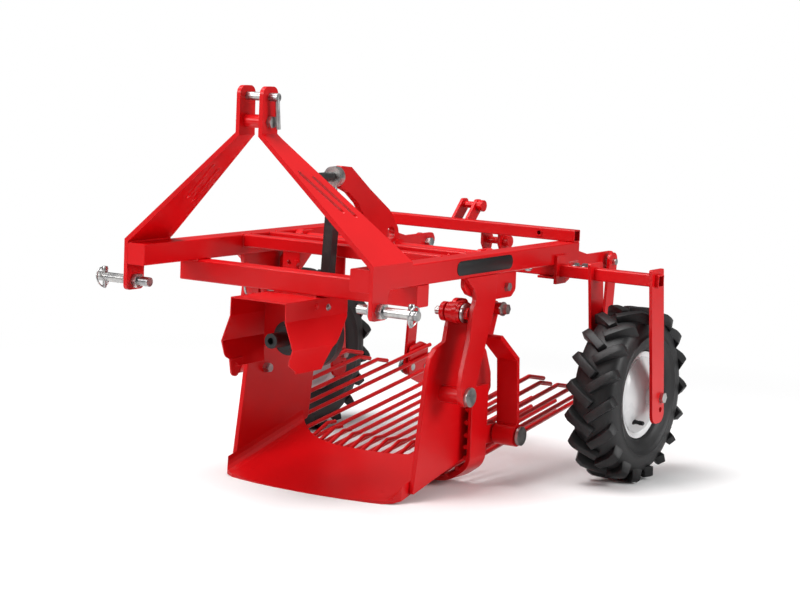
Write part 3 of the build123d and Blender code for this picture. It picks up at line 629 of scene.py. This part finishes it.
def linch_pins(bm):
    """A stepped bar through each lower pin, with its spring ring round the pin."""
    for side in (1, -1):
        x = side * PIN_HOLE_X
        bar = bmesh.new()
        lathe(bar, LINCH_ROWS, 20)
        bar.transform(Matrix.Translation((x, PIN_Y, PIN_Z)))
        ring = bmesh.new()
        points = []
        for i in range(40):
            turn = tau * i / 40
            points.append((
                x + side * (0.006 + 0.004 * cos(turn)),
                PIN_Y + 0.0205 * sin(turn),
                PIN_Z - 0.002 + 0.0215 * cos(turn),
            ))
        tube(ring, points, 0.0019, 10, closed=True)
        for part in (bar, ring):
            mesh = bpy.data.meshes.new("part")
            part.to_mesh(mesh)
            part.free()
            bm.from_mesh(mesh)


finished("linch_pins", shape_from(linch_pins), ZINC, "frame", 40)


# ---------------------------------------------------------------- wheels

TYRE_ROWS = (
    # across, radius: bead, sidewall with its ring, shoulder and crown
    (-0.0285, 0.0985), (0.0285, 0.0985), (0.0300, 0.1060), (0.0330, 0.1100), (0.0400, 0.1120),
    (0.0455, 0.1150), (0.0500, 0.1240), (0.0535, 0.1350), (0.0562, 0.1440), (0.0585, 0.1462),
    (0.0592, 0.1490), (0.0578, 0.1512), (0.0575, 0.1600), (0.0572, 0.1700), (0.0550, 0.1810),
    (0.0500, 0.1895), (0.0400, 0.1950), (0.0220, 0.1985), (0.0, 0.2000),
)
LUG_TURN = radians(36)
LUG_HALF = 0.011
LUG_FOOT_HALF = LUG_HALF * 1.25
LUG_TOP_HALF = LUG_HALF * 0.94
LUG_ROWS = (
    # along the lug, radius of its foot, radius of its top
    (-0.0060, 0.1900, 0.2150), (0.0100, 0.1900, 0.2155), (0.0260, 0.1890, 0.2158), (0.0420, 0.1880, 0.2160),
    (0.0580, 0.1860, 0.2156), (0.0680, 0.1830, 0.2115), (0.0740, 0.1815, 0.2070),
)
LUG_COUNT = 18


def lug_shape(bm):
    """One lug on the crown, from the middle to the shoulder, pointing along Z."""
    rings = []
    for along, foot, top in LUG_ROWS:
        corners = ((foot, LUG_FOOT_HALF), (top, LUG_TOP_HALF), (top, -LUG_TOP_HALF), (foot, -LUG_FOOT_HALF))
        ring = []
        for radius, half in corners:
            x = along * cos(LUG_TURN) - half * sin(LUG_TURN)
            y = along * sin(LUG_TURN) + half * cos(LUG_TURN)
            ring.append(bm.verts.new((x, y, (radius ** 2 - y ** 2) ** 0.5)))
        rings.append(ring)
    for low, high in zip(rings, rings[1:]):
        for i in range(4):
            k = (i + 1) % 4
            bm.faces.new((low[i], low[k], high[k], high[i]))
    bm.faces.new(rings[0])
    bm.faces.new(rings[-1])
    bmesh.ops.recalc_face_normals(bm, faces=bm.faces)
    sharp = [e for e in bm.edges if len(e.link_faces) == 2 and e.calc_face_angle() > radians(40)]
    bmesh.ops.bevel(
        bm, geom=sharp, offset=0.0016, segments=2, affect="EDGES", profile=0.5, clamp_overlap=True,
    )


def mirrored(mesh):
    """A mesh turned over left to right."""
    bm = bmesh.new()
    bm.from_mesh(mesh)
    bm.transform(Matrix.Diagonal((-1, 1, 1, 1)))
    bmesh.ops.recalc_face_normals(bm, faces=bm.faces)
    bm.to_mesh(mesh)
    bm.free()
    return mesh


def tyre_wall(bm):
    """The tyre's body as a turned shell about X."""
    rows = [(-across, radius) for across, radius in reversed(TYRE_ROWS[2:-1])]
    lathe(bm, [(across, radius) for across, radius in TYRE_ROWS] + rows, 96, closed=True)
    bm.transform(Matrix.Rotation(pi / 2, 4, "Y"))


RIM_ROWS = (
    # across, radius: the rolled ring as a closed section
    (-0.0380, 0.1050), (-0.0375, 0.1078), (-0.0345, 0.1080), (-0.0320, 0.1060), (-0.0295, 0.1000),
    (-0.0280, 0.0978), (0.0280, 0.0978), (0.0295, 0.1000), (0.0320, 0.1060), (0.0345, 0.1080),
    (0.0375, 0.1078), (0.0380, 0.1050), (0.0362, 0.1015), (0.0340, 0.0955), (0.0310, 0.0932),
    (-0.0310, 0.0932), (-0.0340, 0.0955), (-0.0362, 0.1015),
)
DISC_ROWS = (
    # across, radius: the dished disc from the ring to the hub
    (0.0280, 0.0940), (0.0350, 0.0938), (0.0385, 0.0905), (0.0440, 0.0800), (0.0540, 0.0580),
    (0.0595, 0.0440), (0.0615, 0.0360), (0.0618, 0.0200), (0.0570, 0.0200), (0.0568, 0.0345),
    (0.0545, 0.0430), (0.0490, 0.0560), (0.0385, 0.0790), (0.0330, 0.0880),
)
HUB_OUT = 0.082
HUB_R = 0.022
HUB_BORE = 0.0085
HUB_EDGE = 0.0015


def rim_shape(bm, hub_in):
    """The ring, disc and hub about X, with the dish towards +X. The hub tube has chamfered ends."""
    hub_rows = (
        (-hub_in, HUB_BORE), (-hub_in, HUB_R - HUB_EDGE), (HUB_EDGE - hub_in, HUB_R),
        (HUB_OUT - HUB_EDGE, HUB_R), (HUB_OUT, HUB_R - HUB_EDGE), (HUB_OUT, HUB_BORE),
    )
    for rows, sides in ((RIM_ROWS, 96), (DISC_ROWS, 72), (hub_rows, 48)):
        part = bmesh.new()
        lathe(part, rows, sides, closed=True)
        mesh = bpy.data.meshes.new("part")
        part.to_mesh(mesh)
        part.free()
        bm.from_mesh(mesh)
    bm.transform(Matrix.Rotation(pi / 2, 4, "Y"))


STEM_ROWS = (
    # along the stem, radius: rubber foot, neck and cap
    (-0.004, 0), (-0.004, 0.0075), (0.002, 0.0078), (0.008, 0.0052), (0.020, 0.0046), (0.0205, 0.0056),
    (0.031, 0.0054), (0.033, 0.0042), (0.033, 0),
)
STEM_PLACE = Matrix.Translation((0.042, -0.045, -0.060))
STEM_LEAN = Matrix.Rotation(pi / 2, 4, "Y") @ Matrix.Rotation(radians(14), 4, "X")


def valve_stem(bm):
    """A rubber valve stem with its cap, pointing along Z."""
    lathe(bm, STEM_ROWS, 20)


def wheel(side):
    """The looks of one wheel, over its CAD tyre and rim."""
    name = "right" if side > 0 else "left"
    body = name + "_wheel"
    low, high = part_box(name + "_tyre")
    centre = Matrix.Translation((low + high) / 2)
    face = centre @ Matrix.Diagonal((side, 1, 1, 1))

    wall = shape_from(tyre_wall)
    wall.transform(centre)
    piece = finished(name + "_tyre_wall", wall, RUBBER, body, 40)
    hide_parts(name + "_tyre")

    step = tau / LUG_COUNT
    outward = shape_from(lug_shape)
    inward = mirrored(shape_from(lug_shape))
    middle = centre.translation
    near = [(*middle, (i * step, 0, 0), 1.0) for i in range(LUG_COUNT)]
    far = [(*middle, ((i + 0.5) * step, 0, 0), 1.0) for i in range(LUG_COUNT)]
    for half, shape, spots in (("outer", outward, near), ("inner", inward, far)):
        if side < 0:
            shape = mirrored(shape)
        spread(f"{name}_{half}_lugs", shape, spots, RUBBER, body, 40)

    low_rim, high_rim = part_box(name + "_rim")
    hub_in = centre.translation.x - low_rim.x if side > 0 else high_rim.x - centre.translation.x
    rim = shape_from(lambda bm: rim_shape(bm, hub_in))
    rim.transform(face)
    if side < 0:
        rim.flip_normals()
    piece = finished(name + "_rim_painted", rim, WHITE, body, 30)
    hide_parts(name + "_rim")

    stem = shape_from(valve_stem)
    stem.transform(face @ STEM_PLACE @ STEM_LEAN)
    if side < 0:
        stem.flip_normals()
    finished(name + "_valve_stem", stem, PLASTIC, body, 40)


wheel(1)
wheel(-1)


# ---------------------------------------------------------------- label plate

PLATE_START = 0.366
PLATE_LEN = 0.256
PLATE_LOW = 0.042
PLATE_HIGH = 0.008
PLATE_CORNER = 0.0165


def label_plate(bm):
    """A bare rounded plate on the right beam's outer face."""
    y0 = low_beam.y + PLATE_START + PLATE_CORNER
    y1 = low_beam.y + PLATE_START + PLATE_LEN - PLATE_CORNER
    z0 = high_beam.z - PLATE_LOW + PLATE_CORNER
    z1 = high_beam.z - PLATE_HIGH - PLATE_CORNER
    outline = []
    for start, (y, z) in enumerate(((y1, z1), (y0, z1), (y0, z0), (y1, z0))):
        for i in range(9):
            turn = (start + i / 8) * pi / 2
            outline.append((high_beam.x, y + PLATE_CORNER * cos(turn), z + PLATE_CORNER * sin(turn)))
    face = bm.faces.new([bm.verts.new(point) for point in outline])
    out = bmesh.ops.extrude_face_region(bm, geom=[face])
    tops = [v for v in out["geom"] if isinstance(v, bmesh.types.BMVert)]
    bmesh.ops.translate(bm, verts=tops, vec=(0.0012, 0, 0))
    rim = [e for e in bm.edges if e.verts[0] in tops and e.verts[1] in tops]
    bmesh.ops.bevel(bm, geom=rim, offset=0.0005, segments=2, affect="EDGES", profile=0.5)
    bmesh.ops.recalc_face_normals(bm, faces=bm.faces)


finished("bare_plate", shape_from(label_plate), PLASTIC, "frame", 40)


# ---------------------------------------------------------------- welds

low_cross, high_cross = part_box("front_cross_beam")
low_mid, high_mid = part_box("middle_cross_tubes")
BEAM_FACE = high_beam.x - 0.050
TUBE_SIDE = 0.030
TOWER_FOOT_LEN = 0.158
seams = []
for side in (1, -1):
    for y in (low_mid.y, low_mid.y + TUBE_SIDE, high_mid.y - TUBE_SIDE, high_mid.y):
        seams.append([(side * BEAM_FACE, y, low_mid.z), (side * BEAM_FACE, y, high_mid.z)])
    for y in (low_cross.y, high_cross.y):
        seams.append([(side * BEAM_FACE, y, high_cross.z), (side * (high_beam.x - 0.004), y, high_cross.z)])
    seams.append([
        (side * high_beam.x, low_beam.y + 0.006, high_beam.z - 0.006),
        (side * high_beam.x, low_beam.y + TOWER_FOOT_LEN, high_beam.z - 0.004),
    ])
weld("frame_welds", seams, "frame")


# ---------------------------------------------------------------- floor and light

def paper():
    """A white floor that fades into the background and keeps the object's shadow."""
    material = bpy.data.materials.new("paper")
    material.use_nodes = True
    tree = material.node_tree
    tree.nodes.clear()
    new = tree.nodes.new
    link = tree.links.new
    end = new("ShaderNodeOutputMaterial")
    seen = new("ShaderNodeLightPath")
    place = new("ShaderNodeTexCoord")
    far = new("ShaderNodeVectorMath")
    far.operation = "LENGTH"
    link(place.outputs["Object"], far.inputs[0])
    fade = new("ShaderNodeMapRange")
    fade.interpolation_type = "SMOOTHSTEP"
    fade.inputs[1].default_value = FADE_START
    fade.inputs[2].default_value = FADE_END
    link(far.outputs["Value"], fade.inputs[0])
    white = new("ShaderNodeEmission")
    white.inputs["Strength"].default_value = 1.0
    bright = new("ShaderNodeBsdfDiffuse")
    bright.inputs["Color"].default_value = (PAPER_SEEN, PAPER_SEEN, PAPER_SEEN, 1)
    ground = new("ShaderNodeMixShader")
    link(fade.outputs[0], ground.inputs[0])
    link(bright.outputs[0], ground.inputs[1])
    link(white.outputs[0], ground.inputs[2])
    plain = new("ShaderNodeBsdfDiffuse")
    plain.inputs["Color"].default_value = (PAPER_LIT, PAPER_LIT, PAPER_LIT, 1)
    mix = new("ShaderNodeMixShader")
    link(seen.outputs["Is Camera Ray"], mix.inputs[0])
    link(plain.outputs[0], mix.inputs[1])
    link(ground.outputs[0], mix.inputs[2])
    link(mix.outputs[0], end.inputs["Surface"])
    return material


FADE_START = 1.1
FADE_END = 2.3
PAPER_SEEN = 0.92
PAPER_LIT = 0.7


def floor():
    """A wide sheet under the wheels."""
    half = 30
    mesh = bpy.data.meshes.new("floor")
    corners = [(-half, -half, 0), (half, -half, 0), (half, half, 0), (-half, half, 0)]
    mesh.from_pydata(corners, [], [(0, 1, 2, 3)])
    mesh.materials.append(paper())
    sheet = bpy.data.objects.new("floor", mesh)
    bpy.context.scene.collection.objects.link(sheet)


def background():
    """White behind the object, and a grey room that lights it, lighter above than below."""
    world = bpy.data.worlds.new("studio")
    world.use_nodes = True
    tree = world.node_tree
    tree.nodes.clear()
    new = tree.nodes.new
    link = tree.links.new
    seen = new("ShaderNodeLightPath")
    place = new("ShaderNodeTexCoord")
    split = new("ShaderNodeSeparateXYZ")
    link(place.outputs["Generated"], split.inputs[0])
    height = new("ShaderNodeMapRange")
    height.interpolation_type = "SMOOTHSTEP"
    height.inputs[1].default_value = -0.1
    height.inputs[2].default_value = 0.9
    height.inputs[3].default_value = ROOM_LOW
    height.inputs[4].default_value = ROOM_HIGH
    link(split.outputs["Z"], height.inputs[0])
    room = new("ShaderNodeBackground")
    link(height.outputs[0], room.inputs["Strength"])
    white = new("ShaderNodeBackground")
    mix = new("ShaderNodeMixShader")
    end = new("ShaderNodeOutputWorld")
    white.inputs["Color"].default_value = (1, 1, 1, 1)
    room.inputs["Color"].default_value = (1, 1, 1, 1)
    link(seen.outputs["Is Camera Ray"], mix.inputs[0])
    link(room.outputs[0], mix.inputs[1])
    link(white.outputs[0], mix.inputs[2])
    link(mix.outputs[0], end.inputs["Surface"])
    bpy.context.scene.world = world


ROOM_LOW = 0.06
ROOM_HIGH = 0.36
LIGHTS = (
    # name, where it hangs, what it points at, width, height, power
    ("overhead", (-0.6, -0.9, 3.8), (0.0, 0.0, 0.2), 2.4, 2.4, 155),
    ("right_side", (3.6, 0.9, 1.7), (0.0, 0.0, 0.4), 1.8, 1.6, 85),
    ("front_left", (-1.6, -3.7, 2.2), (0.0, 0.0, 0.4), 2.0, 1.6, 75),
)


def lights():
    """Soft boxes round the object."""
    for name, place, target, width, height, power in LIGHTS:
        data = bpy.data.lights.new(name, "AREA")
        data.shape = "RECTANGLE"
        data.size = width
        data.size_y = height
        data.energy = power
        lamp = bpy.data.objects.new(name, data)
        aim = Vector(target) - Vector(place)
        lamp.matrix_world = Matrix.Translation(place) @ aim.to_track_quat("-Z", "Y").to_matrix().to_4x4()
        bpy.context.scene.collection.objects.link(lamp)


floor()
background()
lights()
bpy.context.scene.view_settings.view_transform = "Standard"
